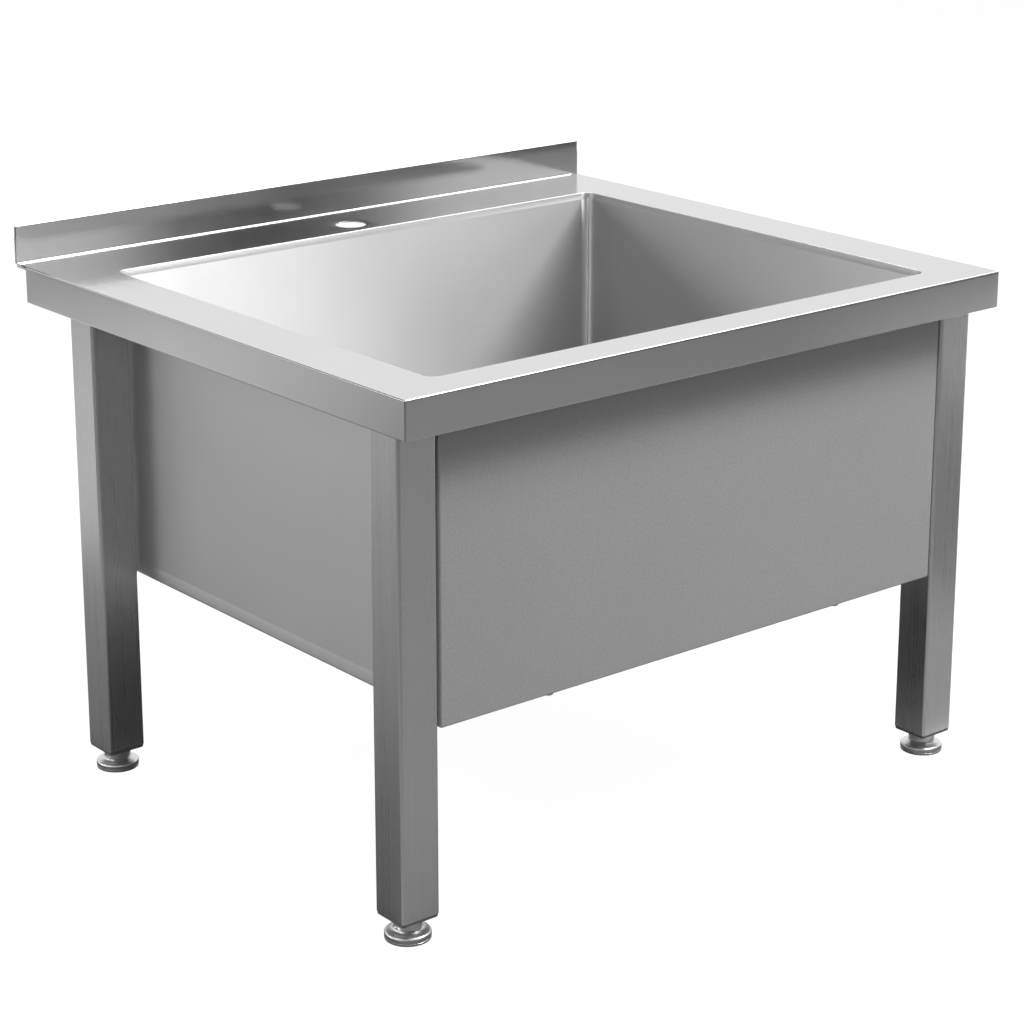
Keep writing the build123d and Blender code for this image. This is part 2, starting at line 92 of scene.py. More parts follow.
def face_outwards(bm, direction):
    """Makes all faces agree, with the face furthest along a direction looking that way."""
    bmesh.ops.remove_doubles(bm, verts=bm.verts[:], dist=1e-6)
    bmesh.ops.recalc_face_normals(bm, faces=bm.faces[:])
    way = Vector(direction)
    outermost = max(bm.faces, key=lambda f: (round(f.calc_center_median().dot(way), 6), abs(f.normal.dot(way))))
    if outermost.normal.dot(way) < 0:
        bmesh.ops.reverse_faces(bm, faces=bm.faces[:])


def make_piece(name, bm, material, body, nodes=(), wall=0.0, sharp=35, back=None):
    """Turns a mesh into a piece of the sink: smooth except at real edges, and riding on its body."""
    mesh = bpy.data.meshes.new(name)
    bm.to_mesh(mesh)
    bm.free()
    mesh.polygons.foreach_set("use_smooth", [True] * len(mesh.polygons))
    mesh.set_sharp_from_angle(angle=math.radians(sharp))
    mesh.materials.append(material)
    piece = bpy.data.objects.new(name, mesh)
    bpy.context.collection.objects.link(piece)
    if wall:
        thick = piece.modifiers.new("sheet", "SOLIDIFY")
        thick.thickness, thick.offset, thick.use_even_offset = wall, -1, True
        if back:
            mesh.materials.append(back)
            thick.material_offset = 1
    even = piece.modifiers.new("flat faces shaded flat", "WEIGHTED_NORMAL")
    even.keep_sharp, even.weight = True, 100
    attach(piece, body)
    if nodes:
        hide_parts(*nodes)
    return piece


top = bmesh.new()
bmesh.ops.create_grid(top, x_segments=1, y_segments=1, size=0.5)
bmesh.ops.scale(top, verts=top.verts[:], vec=(WIDTH, DEPTH / 2 + UPSTAND_Y, 1))
bmesh.ops.translate(top, verts=top.verts[:], vec=(0, (UPSTAND_Y - DEPTH / 2) / 2, DECK))
for x in (-WIDTH / 2 + HEM_WIDTH, -BOWL_X, -TAP_PATCH, TAP_PATCH, BOWL_X, WIDTH / 2 - HEM_WIDTH):
    cut(top, "x", x)
for y in (BOWL_FRONT, BOWL_BACK, TAP_Y - TAP_PATCH, TAP_Y + TAP_PATCH, APRON_END):
    cut(top, "y", y)
opening = [f for f in top.faces if abs(f.calc_center_median().x) < BOWL_X
           and BOWL_FRONT < f.calc_center_median().y < BOWL_BACK]
tap_patch = [f for f in top.faces if abs(f.calc_center_median().x) < TAP_PATCH
             and abs(f.calc_center_median().y - TAP_Y) < TAP_PATCH]
bmesh.ops.delete(top, geom=opening + tap_patch, context="FACES")

# the tap hole, punched through a patch of the rear deck
rim = edges_where(top, lambda x, y, z: abs(x) < TAP_PATCH + 1e-5 and abs(y - TAP_Y) < TAP_PATCH + 1e-5)
bmesh.ops.subdivide_edges(top, edges=rim, cuts=11)
rim = edges_where(top, lambda x, y, z: abs(x) < TAP_PATCH + 1e-5 and abs(y - TAP_Y) < TAP_PATCH + 1e-5)
round_ring(fold(top, rim, (0, 0, 0)), 0, TAP_Y, TAP_RADIUS)

# aprons and their lips
side = edges_where(top, lambda x, y, z: near(abs(x), WIDTH / 2))
front = edges_where(top, lambda x, y, z: near(y, -DEPTH / 2))
fold(top, side + front, (0, 0, -BEND - 1 * MM))
low_edges = edges_where(top, lambda x, y, z: z < DECK - BEND and y < APRON_END + 1e-5)
low_edges = [e for e in low_edges if near(e.verts[0].co.z, e.verts[1].co.z)]
fold(top, low_edges, (0, 0, BEND + 1 * MM - APRON))
low_edges = edges_where(top, lambda x, y, z: near(z, DECK - APRON))
for v in fold(top, low_edges, (0, 0, 0)):
    if near(v.co.y, -DEPTH / 2):
        v.co.y += LIP
    if near(abs(v.co.x), WIDTH / 2):
        v.co.x -= math.copysign(LIP, v.co.x)

# upstand, then the hem turned back along its top and down its ends
rear = edges_where(top, lambda x, y, z: near(y, UPSTAND_Y) and near(z, DECK))
fold(top, rear, (0, 0, UPSTAND - HEM_WIDTH))
upper = edges_where(top, lambda x, y, z: near(y, UPSTAND_Y) and near(z, DECK + UPSTAND - HEM_WIDTH))
fold(top, upper, (0, 0, HEM_WIDTH))
upper = edges_where(top, lambda x, y, z: near(y, UPSTAND_Y) and near(z, DECK + UPSTAND))
ends = edges_where(top, lambda x, y, z: near(y, UPSTAND_Y) and near(abs(x), WIDTH / 2) and z > DECK - 1e-5)
fold(top, upper, (0, HEM, 0))
fold(top, ends, (0, HEM, 0))
bmesh.ops.remove_doubles(top, verts=top.verts[:], dist=1e-6)
upper = edges_where(top, lambda x, y, z: near(y, DEPTH / 2) and near(z, DECK + UPSTAND))
fold(top, upper, (0, 0, -HEM_WIDTH))
for end in (-1, 1):
    lower_end = edges_where(top, lambda x, y, z: near(y, DEPTH / 2) and near(x, end * WIDTH / 2)
                            and z < DECK + UPSTAND - HEM_WIDTH + 1e-5)
    fold(top, lower_end, (-end * HEM_WIDTH, 0, 0))

# collar turned down round the opening, with its rounded upright corners
brim = edges_where(top, lambda x, y, z: near(z, DECK) and abs(x) < BOWL_X + 1e-5
                   and BOWL_FRONT - 1e-5 < y < BOWL_BACK + 1e-5)
fold(top, brim, (0, 0, -COLLAR))
bmesh.ops.remove_doubles(top, verts=top.verts[:], dist=1e-6)
uprights = edges_where(top, lambda x, y, z: near(abs(x), BOWL_X) and (near(y, BOWL_FRONT) or near(y, BOWL_BACK)))
round_off(top, [e for e in uprights if not near(e.verts[0].co.z, e.verts[1].co.z)], CORNER, 10)


def is_collar(face):
    """True on the strip that turns down into the bowl, which is ground together with the bowl."""
    x, y, z = face.calc_center_median()
    return abs(x) < BOWL_X + BEND and BOWL_FRONT - BEND < y < BOWL_BACK + BEND and z < DECK - 0.4 * MM and abs(face.normal.z) < 0.75


def is_brim(x, y, z):
    """True on the edge where the deck turns down into the bowl."""
    return near(z, DECK) and abs(x) < BOWL_X + 1e-5 and BOWL_FRONT - 1e-5 < y < BOWL_BACK + 1e-5


round_off(top, [e for e in edges_where(top, is_brim) if len(e.link_faces) == 2
                and abs(e.link_faces[0].normal.dot(e.link_faces[1].normal)) < 0.5], BEND)
folds = [e for e in top.edges if len(e.link_faces) == 2 and abs(e.link_faces[0].normal.dot(e.link_faces[1].normal)) < 0.5]
outer = [e for e in folds if all(v.co.y < UPSTAND_Y - 1 * MM and (near(v.co.y, -DEPTH / 2) or near(abs(v.co.x), WIDTH / 2))
                                 for v in e.verts) or all(near(v.co.y, UPSTAND_Y) and near(v.co.z, DECK) for v in e.verts)
         or (all(near(abs(v.co.x), WIDTH / 2) and near(v.co.z, DECK) for v in e.verts))]
round_off(top, outer, CREASE)
hems = [e for e in top.edges if len(e.link_faces) == 2 and abs(e.link_faces[0].normal.dot(e.link_faces[1].normal)) < 0.5
        and all(v.co.y > UPSTAND_Y - 1e-5 and v.co.z > DECK + BEND + 1e-5 for v in e.verts)]
round_off(top, hems, 1.2 * MM, 3)
face_outwards(top, (0, 0, 1))


def add_socket(group, way, name, kind="Float", value=None):
    """A named input or output of a shader node group."""
    made = group.interface.new_socket(name=name, in_out=way, socket_type="NodeSocket" + kind)
    if value is not None:
        made.default_value = value


def add_node(tree, kind, **settings):
    """A shader node with its settings; a setting named after an input sets that input."""
    made = tree.nodes.new("ShaderNode" + kind)
    for key, value in settings.items():
        setattr(made, key, value)
    return made


def math_node(tree, operation, a, b=None, clamp=False):
    """One step of arithmetic on sockets or plain numbers."""
    step = add_node(tree, "Math", operation=operation, use_clamp=clamp)
    for slot_number, value in enumerate((a, b)):
        if isinstance(value, (int, float)):
            step.inputs[slot_number].default_value = value
        elif value is not None:
            tree.links.new(value, step.inputs[slot_number])
    return step.outputs[0]


# Finish shared by all the steel: streaks along the grain, slow clouds of tone, smears that change
# the sheen, and edges rubbed brighter. It gives out colour, roughness and height only.
steel_finish = bpy.data.node_groups.new("steel finish", "ShaderNodeTree")
add_socket(steel_finish, "INPUT", "Place", "Vector")
add_socket(steel_finish, "INPUT", "Grain", "Vector")
add_socket(steel_finish, "INPUT", "Tone", "Color", (0.7, 0.7, 0.7, 1))
for name, value in (("Tone change", 0.05), ("Streaks", 0.05), ("Roughness", 0.3), ("Smears", 0.05),
                    ("Mottle", 0.0), ("Mottle size", 400.0), ("Edge width", 0.002), ("Edge rub", 0.3)):
    add_socket(steel_finish, "INPUT", name, "Float", value)
add_socket(steel_finish, "OUTPUT", "Colour", "Color")
add_socket(steel_finish, "OUTPUT", "Roughness")
add_socket(steel_finish, "OUTPUT", "Height")
given = steel_finish.nodes.new("NodeGroupInput")
result = steel_finish.nodes.new("NodeGroupOutput")
link = steel_finish.links.new
along = add_node(steel_finish, "VectorMath", operation="MULTIPLY")
link(given.outputs["Place"], along.inputs[0])
link(given.outputs["Grain"], along.inputs[1])
streak = add_node(steel_finish, "TexNoise")
streak.inputs["Scale"].default_value = 1.0
streak.inputs["Detail"].default_value = 5.0
streak.inputs["Roughness"].default_value = 0.65
link(along.outputs[0], streak.inputs["Vector"])
cloud = add_node(steel_finish, "TexNoise")
cloud.inputs["Scale"].default_value = 7.0
cloud.inputs["Detail"].default_value = 2.0
link(given.outputs["Place"], cloud.inputs["Vector"])
smear = add_node(steel_finish, "TexNoise")
smear.inputs["Scale"].default_value = 16.0
smear.inputs["Detail"].default_value = 3.0
smear.inputs["Distortion"].default_value = 0.7
link(given.outputs["Place"], smear.inputs["Vector"])
mottle = add_node(steel_finish, "TexNoise")
mottle.inputs["Detail"].default_value = 2.5
link(given.outputs["Place"], mottle.inputs["Vector"])
link(given.outputs["Mottle size"], mottle.inputs["Scale"])
rounded = add_node(steel_finish, "Bevel", samples=4)
link(given.outputs["Edge width"], rounded.inputs["Radius"])
surface = add_node(steel_finish, "NewGeometry")
facing = add_node(steel_finish, "VectorMath", operation="DOT_PRODUCT")
link(rounded.outputs[0], facing.inputs[0])
link(surface.outputs["Normal"], facing.inputs[1])
edge = math_node(steel_finish, "MULTIPLY", math_node(steel_finish, "SUBTRACT", 1.0, facing.outputs["Value"]), 9.0, clamp=True)
edge = math_node(steel_finish, "MULTIPLY", edge, given.outputs["Edge rub"])
centred = {}
for key, texture in (("streak", streak), ("cloud", cloud), ("smear", smear), ("mottle", mottle)):
    centred[key] = math_node(steel_finish, "SUBTRACT", texture.outputs["Fac"], 0.5)
shade = math_node(steel_finish, "MULTIPLY", centred["cloud"], given.outputs["Tone change"])
shade = math_node(steel_finish, "ADD", shade, math_node(steel_finish, "MULTIPLY", centred["streak"], given.outputs["Streaks"]))
shade = math_node(steel_finish, "ADD", shade, math_node(steel_finish, "MULTIPLY", centred["mottle"], given.outputs["Mottle"]))
shade = math_node(steel_finish, "ADD", math_node(steel_finish, "ADD", shade, 1.0), edge)
toned = add_node(steel_finish, "VectorMath", operation="SCALE")
link(given.outputs["Tone"], toned.inputs[0])
link(shade, toned.inputs["Scale"])
link(toned.outputs[0], result.inputs["Colour"])
sheen = math_node(steel_finish, "ADD", given.outputs["Roughness"],
                  math_node(steel_finish, "MULTIPLY", centred["smear"], given.outputs["Smears"]))
sheen = math_node(steel_finish, "ADD", sheen, math_node(steel_finish, "MULTIPLY", centred["streak"], given.outputs["Streaks"]))
link(math_node(steel_finish, "SUBTRACT", sheen, math_node(steel_finish, "MULTIPLY", edge, 0.2), clamp=True), result.inputs["Roughness"])
link(math_node(steel_finish, "ADD", streak.outputs["Fac"],
               math_node(steel_finish, "MULTIPLY", mottle.outputs["Fac"], given.outputs["Mottle"])), result.inputs["Height"])


def steel(name, grain, bump=0.03, stretch=0.0, stretch_turn=0.0, attribute=None, metallic=1.0, **values):
    """A stainless steel with its own grain direction, tone, sheen and wear."""
    material = bpy.data.materials.new(name)
    material.use_nodes = True
    tree = material.node_tree
    shader = tree.nodes["Principled BSDF"]
    shader.inputs["Metallic"].default_value = metallic
    shader.inputs["Anisotropic"].default_value = stretch
    shader.inputs["Anisotropic Rotation"].default_value = stretch_turn
    finish = add_node(tree, "Group", node_tree=steel_finish)
    if attribute:
        place = add_node(tree, "Attribute", attribute_name=attribute)
        tree.links.new(place.outputs["Vector"], finish.inputs["Place"])
    else:
        place = add_node(tree, "TexCoord")
        tree.links.new(place.outputs["Object"], finish.inputs["Place"])
    finish.inputs["Grain"].default_value = grain
    for key, value in values.items():
        finish.inputs[key.replace("_", " ").capitalize()].default_value = value
    relief = add_node(tree, "Bump")
    relief.inputs["Strength"].default_value = bump
    relief.inputs["Distance"].default_value = 0.0005
    tree.links.new(finish.outputs["Height"], relief.inputs["Height"])
    tree.links.new(finish.outputs["Colour"], shader.inputs["Base Color"])
    tree.links.new(finish.outputs["Roughness"], shader.inputs["Roughness"])
    tree.links.new(relief.outputs[0], shader.inputs["Normal"])
    return material


worktop_steel = steel("satin worktop steel", (3, 700, 700), bump=0.02, tone=(0.66, 0.66, 0.66, 1), tone_change=0.08,
                      streaks=0.05, roughness=0.15, smears=0.06, edge_width=0.002, edge_rub=0.08)
bowl_steel = steel("brushed bowl steel", (4, 4, 500), bump=0.015, tone=(0.80, 0.80, 0.80, 1), tone_change=0.12,
                   streaks=0.05, roughness=0.55, smears=0.10, edge_width=0.003, edge_rub=0.05, stretch=0.95, stretch_turn=0.25)
for f in top.faces:
    if is_collar(f):
        f.material_index = 1
sheet = make_piece("worktop_sheet", top, worktop_steel, "sink", ["worktop"], wall=SHEET)
sheet.data.materials.append(bowl_steel)

# ------------------------------------------------------------------ bowl walls
# Four walls bent from one strip of the same sheet and butt welded to the collar above. The strip
# is closed by an upright weld in the rear right corner, ground back to a fine bright line.
SEAM_Z = 240 * MM
walls = bmesh.new()
bmesh.ops.create_grid(walls, x_segments=1, y_segments=1, size=0.5)
bmesh.ops.scale(walls, verts=walls.verts[:], vec=(2 * BOWL_X, BOWL_BACK - BOWL_FRONT, 1))
bmesh.ops.translate(walls, verts=walls.verts[:], vec=(0, (BOWL_BACK + BOWL_FRONT) / 2, DECK - COLLAR))
bmesh.ops.delete(walls, geom=walls.faces[:], context="FACES_ONLY")
fold(walls, walls.edges[:], (0, 0, SEAM_Z - DECK + COLLAR))
round_off(walls, [e for e in walls.edges if not near(e.verts[0].co.z, e.verts[1].co.z)], CORNER, 10)
face_outwards(walls, (1, 0, 0))
bmesh.ops.reverse_faces(walls, faces=walls.faces[:])
outside_steel = steel("unpolished bowl outside", (3, 3, 160), bump=0.03, tone=(0.51, 0.51, 0.51, 1), tone_change=0.06,
                      streaks=0.05, roughness=0.55, smears=0.08, edge_width=0.003, edge_rub=0.08, stretch=0.5, stretch_turn=0.25)
make_piece("bowl_walls", walls, bowl_steel, "sink", ["bowl_wall"], wall=SHEET, back=outside_steel)

weld = bmesh.new()
bead_x, bead_y = BOWL_X - CORNER * (1 - math.sqrt(0.5)), BOWL_BACK - CORNER * (1 - math.sqrt(0.5))
bmesh.ops.create_circle(weld, segments=10, radius=1.5 * MM, matrix=Matrix.Translation((bead_x, bead_y, SEAM_Z)))
ring = weld.edges[:]
for step in range(60):
    raised = fold(weld, ring, (0, 0, (DECK - 6 * MM - SEAM_Z) / 60))
    swell = 1 + 0.10 * math.sin(step * 2.4) + 0.06 * math.sin(step * 5.1)
    around = Matrix.Translation((-bead_x, -bead_y, 0))
    bmesh.ops.scale(weld, verts=raised, vec=(1 / swell if step % 2 else swell, swell if step % 2 else 1 / swell, 1), space=around)
    ring = [e for e in weld.edges if all(v in raised for v in e.verts)]
face_outwards(weld, (0, 0, 1))
weld_steel = steel("ground weld", (40, 40, 900), bump=0.25, tone=(0.92, 0.92, 0.92, 1), tone_change=0.15, streaks=0.2,
                   roughness=0.5, smears=0.2, edge_width=0.0005, edge_rub=0.1, stretch=0.9, stretch_turn=0.25)
make_piece("bowl_corner_weld", weld, weld_steel, "sink")

# ------------------------------------------------------------------ bowl floor
# A pressed pan welded to the foot of the walls: rounded up into them, creased from its four
# corners so that it falls to the middle, with a dished seat round the waste hole.
FLOOR_Z, FLOOR_BEND, FALL = 225 * MM, 3 * MM, 5 * MM
RECESS, RECESS_Z, WASTE_HOLE = 118 * MM, 217 * MM, 88 * MM
MIDDLE_Y = (BOWL_BACK + BOWL_FRONT) / 2
pan = bmesh.new()
bmesh.ops.create_grid(pan, x_segments=1, y_segments=1, size=0.5)
bmesh.ops.scale(pan, verts=pan.verts[:], vec=(2 * BOWL_X, BOWL_BACK - BOWL_FRONT, 1))
bmesh.ops.translate(pan, verts=pan.verts[:], vec=(0, MIDDLE_Y, FLOOR_Z))
fold(pan, pan.edges[:], (0, 0, SEAM_Z - FLOOR_Z))
round_off(pan, [e for e in pan.edges if not near(e.verts[0].co.z, e.verts[1].co.z)], CORNER, 10)
base = max((f for f in pan.faces if abs(f.normal.z) > 0.9), key=lambda f: f.calc_area())
round_off(pan, base.edges[:], FLOOR_BEND, 6)
base = max((f for f in pan.faces if abs(f.normal.z) > 0.9), key=lambda f: f.calc_area())
bmesh.ops.dissolve_limit(pan, angle_limit=0.001, verts=base.verts[:], edges=base.edges[:])
base = max((f for f in pan.faces if abs(f.normal.z) > 0.9), key=lambda f: f.calc_area())
bmesh.ops.delete(pan, geom=[base], context="FACES_ONLY")
outer_rim = [e for e in pan.edges if len(e.link_faces) == 1 and near(e.verts[0].co.z, FLOOR_Z) and near(e.verts[1].co.z, FLOOR_Z)]
slope = fold(pan, outer_rim, (0, 0, -FALL))
for v in slope:
    v.co.x = math.copysign(RECESS / 2 + 3 * MM, v.co.x)
    v.co.y = MIDDLE_Y + math.copysign(RECESS / 2 + 3 * MM, v.co.y - MIDDLE_Y)
bmesh.ops.remove_doubles(pan, verts=slope, dist=1e-6)


def open_edges(bm, height):
    """Edges at one height with sheet on one side only."""
    return [e for e in bm.edges if len(e.link_faces) == 1 and all(near(v.co.z, height) for v in e.verts)]


bmesh.ops.subdivide_edges(pan, edges=open_edges(pan, FLOOR_Z - FALL), cuts=11)
round_ring(fold(pan, open_edges(pan, FLOOR_Z - FALL), (0, 0, 0)), 0, MIDDLE_Y, RECESS / 2)
fold(pan, open_edges(pan, FLOOR_Z - FALL), (0, 0, RECESS_Z - FLOOR_Z + FALL))
round_ring(fold(pan, open_edges(pan, RECESS_Z), (0, 0, 0)), 0, MIDDLE_Y, WASTE_HOLE / 2)
face_outwards(pan, (1, 0, 0))
bmesh.ops.reverse_faces(pan, faces=pan.faces[:])
pan_steel = steel("pressed pan steel", (50, 50, 50), bump=0.02, tone=(0.56, 0.56, 0.56, 1), tone_change=0.10,
                  streaks=0.05, roughness=0.42, smears=0.12, edge_width=0.003, edge_rub=0.08)
make_piece("bowl_pan", pan, pan_steel, "sink", ["bowl_floor"], wall=SHEET, sharp=25, back=outside_steel)

# ------------------------------------------------------------------ stiffening rails and leg sockets
# Plain folded channels and thick plates with square stubs, all welded under the deck out of
# sight. They keep the mill's dull finish; the heat tint of the welds is not drawn.
frame_steel = steel("unpolished frame steel", (60, 60, 60), bump=0.05, tone=(0.55, 0.55, 0.55, 1), tone_change=0.12,
                    streaks=0.05, roughness=0.42, smears=0.12, edge_width=0.0015, edge_rub=0.15)


def dress(material, *names):
    """Gives CAD nodes their finish, slot by slot."""
    for name in names:
        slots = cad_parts[name].material_slots
        for number in range(len(slots)):
            slots[number].material = material


CORNERS = {"front_left": (-365.5 * MM, -299.5 * MM), "front_right": (365.5 * MM, -299.5 * MM),
           "back_left": (-365.5 * MM, 237.5 * MM), "back_right": (365.5 * MM, 237.5 * MM)}
dress(frame_steel, "front_rail", "side_rail_left", "side_rail_right", *["leg_socket_" + c for c in CORNERS])

# ------------------------------------------------------------------ legs
# Square 45 mm stainless tube, brushed along its length, pushed up over the stubs and locked
# there by two hexagon screws each. The cut ends are deburred.
leg_steel = steel("tube steel brushed lengthwise", (450, 450, 2.0), bump=0.06, tone=(0.68, 0.68, 0.68, 1), tone_change=0.08,
                  streaks=0.24, roughness=0.30, smears=0.08, edge_width=0.002, edge_rub=0.12, stretch=0.35)
screw_steel = steel("bright fastener steel", (30, 30, 30), bump=0.05, tone=(0.68, 0.68, 0.68, 1), tone_change=0.1,
                    streaks=0.05, roughness=0.25, smears=0.1, edge_width=0.0006, edge_rub=0.25)
dress(leg_steel, *["leg_" + c for c in CORNERS])
dress(screw_steel, "leg_screws")

# ------------------------------------------------------------------ leg inserts
# Moulded polyamide plugs driven into the tubes. Only the chamfered collar shows below the
# steel; it carries the thread of the levelling spindle.
insert_plastic = bpy.data.materials.new("grey moulded polyamide")
insert_plastic.use_nodes = True
tree = insert_plastic.node_tree
shader = tree.nodes["Principled BSDF"]
place = add_node(tree, "TexCoord")
spark = add_node(tree, "TexNoise")
spark.inputs["Scale"].default_value = 900.0
spark.inputs["Detail"].default_value = 3.0
tree.links.new(place.outputs["Object"], spark.inputs["Vector"])
tones = add_node(tree, "ValToRGB")
tones.color_ramp.elements[0].color = (0.20, 0.20, 0.20, 1)
tones.color_ramp.elements[1].color = (0.34, 0.34, 0.34, 1)
tree.links.new(spark.outputs["Fac"], tones.inputs["Fac"])
tree.links.new(tones.outputs["Color"], shader.inputs["Base Color"])
sheen = add_node(tree, "MapRange")
sheen.inputs["To Min"].default_value = 0.42
sheen.inputs["To Max"].default_value = 0.62
tree.links.new(spark.outputs["Fac"], sheen.inputs["Value"])
tree.links.new(sheen.outputs[0], shader.inputs["Roughness"])
relief = add_node(tree, "Bump")
relief.inputs["Strength"].default_value = 0.15
relief.inputs["Distance"].default_value = 0.0003
tree.links.new(spark.outputs["Fac"], relief.inputs["Height"])
tree.links.new(relief.outputs[0], shader.inputs["Normal"])
dress(insert_plastic, *["leg_insert_" + c for c in CORNERS])

# ------------------------------------------------------------------ levelling feet
# Each foot is a turned stainless pad with a socket, and a spindle with a cut M12 thread, 1.5 mm
# pitch, and a turned neck with two flats to grip. The lathe leaves fine rings on both.
PAD_RADIUS, PAD_RIM, PAD_TOP, NECK_RADIUS = 23.3 * MM, 6.5 * MM, 12 * MM, 14.5 * MM
NECK_LOW, NECK_HIGH, SPINDLE_RADIUS, SPINDLE_TOP = 12.3 * MM, 22.7 * MM, 6 * MM, 72 * MM
PITCH, SOCKET_FLOOR = 1.5 * MM, 5 * MM


def turn(bm, outline, x, y, steps=72):
    """Turns an outline of (radius, height) points about an upright axis."""
    points = [bm.verts.new((x + r, y, z)) for r, z in outline]
    edges = [bm.edges.new(pair) for pair in zip(points, points[1:])]
    bmesh.ops.spin(bm, geom=points + edges, cent=(x, y, 0), axis=(0, 0, 1), angle=math.tau, steps=steps,
                   use_merge=True, use_duplicate=False)
    bmesh.ops.remove_doubles(bm, verts=bm.verts[:], dist=2e-6)


def mark_turning(piece, x, y):
    """Stores each point's distance from the lathe axis and its height, which the rings follow."""
    rings = piece.data.attributes.new("turning", "FLOAT_VECTOR", "POINT")
    for number, v in enumerate(piece.data.vertices):
        radius = math.hypot(v.co.x - x, v.co.y - y)
        rings.data[number].vector = (radius + v.co.z * 0.7, 0.13 * math.atan2(v.co.y - y, v.co.x - x) * MM, 0)


foot_steel = steel("turned foot steel", (2600, 60, 1), bump=0.12, tone=(0.76, 0.76, 0.76, 1), tone_change=0.1, streaks=0.16,
                   roughness=0.38, smears=0.05, edge_width=0.0006, edge_rub=0.15, attribute="turning")
shoulder = [(PAD_RADIUS - 4 * MM * math.sin(a), PAD_RIM + 2.6 * MM * (1 - math.cos(a)) / 1.0)
            for a in [math.pi / 2 * n / 8 for n in range(9)]]
for corner, (x, y) in CORNERS.items():
    pad = bmesh.new()
    outline = [(1e-6, 0), (PAD_RADIUS - 1.0 * MM, 0), (PAD_RADIUS - 0.3 * MM, 0.3 * MM), (PAD_RADIUS, 1 * MM),
               (PAD_RADIUS, 2.6 * MM), (PAD_RADIUS - 0.25 * MM, 2.8 * MM), (PAD_RADIUS - 0.25 * MM, 3.1 * MM),
               (PAD_RADIUS, 3.3 * MM), (PAD_RADIUS, PAD_RIM)]
    outline += [(PAD_RADIUS - 4 * MM * (1 - math.cos(a)), PAD_RIM + 2.6 * MM * math.sin(a))
                for a in [math.pi / 2 * n / 8 for n in range(1, 9)]]
    outline += [(17.6 * MM, 9.4 * MM), (16.2 * MM, 10.0 * MM), (15.2 * MM, 10.9 * MM), (NECK_RADIUS, PAD_TOP - 0.2 * MM),
                (NECK_RADIUS - 0.2 * MM, PAD_TOP), (SPINDLE_RADIUS + 0.06 * MM, PAD_TOP),
                (SPINDLE_RADIUS + 0.06 * MM, SOCKET_FLOOR), (1e-6, SOCKET_FLOOR)]
    turn(pad, outline, x, y)
    face_outwards(pad, (1, 0, 0))
    piece = make_piece("pad_turned_" + corner, pad, foot_steel, "pad_" + corner, ["foot_pad_" + corner], sharp=30)
    mark_turning(piece, x, y)

    spindle = bmesh.new()
    core = SPINDLE_RADIUS - 0.85 * MM
    turn(spindle, [(1e-6, SOCKET_FLOOR), (SPINDLE_RADIUS - 0.4 * MM, SOCKET_FLOOR), (SPINDLE_RADIUS, SOCKET_FLOOR + 0.4 * MM),
                   (SPINDLE_RADIUS, NECK_LOW), (NECK_RADIUS - 0.5 * MM, NECK_LOW), (NECK_RADIUS, NECK_LOW + 0.5 * MM),
                   (NECK_RADIUS, 15 * MM), (NECK_RADIUS - 0.4 * MM, 15.3 * MM), (NECK_RADIUS - 0.4 * MM, 15.9 * MM),
                   (NECK_RADIUS, 16.2 * MM), (NECK_RADIUS, NECK_HIGH - 1 * MM), (NECK_RADIUS - 1 * MM, NECK_HIGH),
                   (core, NECK_HIGH), (core, SPINDLE_TOP - 1 * MM), (core - 1 * MM, SPINDLE_TOP), (1e-6, SPINDLE_TOP)], x, y)
    for side in (-1, 1):
        flat_at = x + side * (NECK_RADIUS - 1.2 * MM)
        for v in spindle.verts:
            if (v.co.x - flat_at) * side > 0 and NECK_LOW + 0.4 * MM < v.co.z < NECK_HIGH - 0.9 * MM:
                v.co.x = flat_at
    face_outwards(spindle, (0, 0, 1))
    turns = int((SPINDLE_TOP - 2.5 * MM - NECK_HIGH) / PITCH)
    tooth = [spindle.verts.new((x + r, y, NECK_HIGH + h)) for r, h in
             ((core - 0.1 * MM, 0), (SPINDLE_RADIUS - 0.08 * MM, 0.62 * MM), (SPINDLE_RADIUS - 0.08 * MM, 0.80 * MM), (core - 0.1 * MM, 1.42 * MM))]
    tooth_edges = [spindle.edges.new(pair) for pair in zip(tooth, tooth[1:])]
    old_faces = set(spindle.faces)
    bmesh.ops.spin(spindle, geom=tooth + tooth_edges, cent=(x, y, 0), axis=(0, 0, 1), dvec=(0, 0, PITCH / 20),
                   angle=math.tau * turns, steps=20 * turns, use_merge=False, use_duplicate=False)
    thread = [f for f in spindle.faces if f not in old_faces]
    bmesh.ops.recalc_face_normals(spindle, faces=thread)
    outer_face = max(thread, key=lambda f: (f.calc_center_median() - Vector((x, y, f.calc_center_median().z))).length)
    if outer_face.normal.dot(outer_face.calc_center_median() - Vector((x, y, outer_face.calc_center_median().z))) < 0:
        bmesh.ops.reverse_faces(spindle, faces=thread)
    piece = make_piece("spindle_turned_" + corner, spindle, foot_steel, "spindle_" + corner,
                       ["foot_spindle_" + corner], sharp=30)
    mark_turning(piece, x, y)

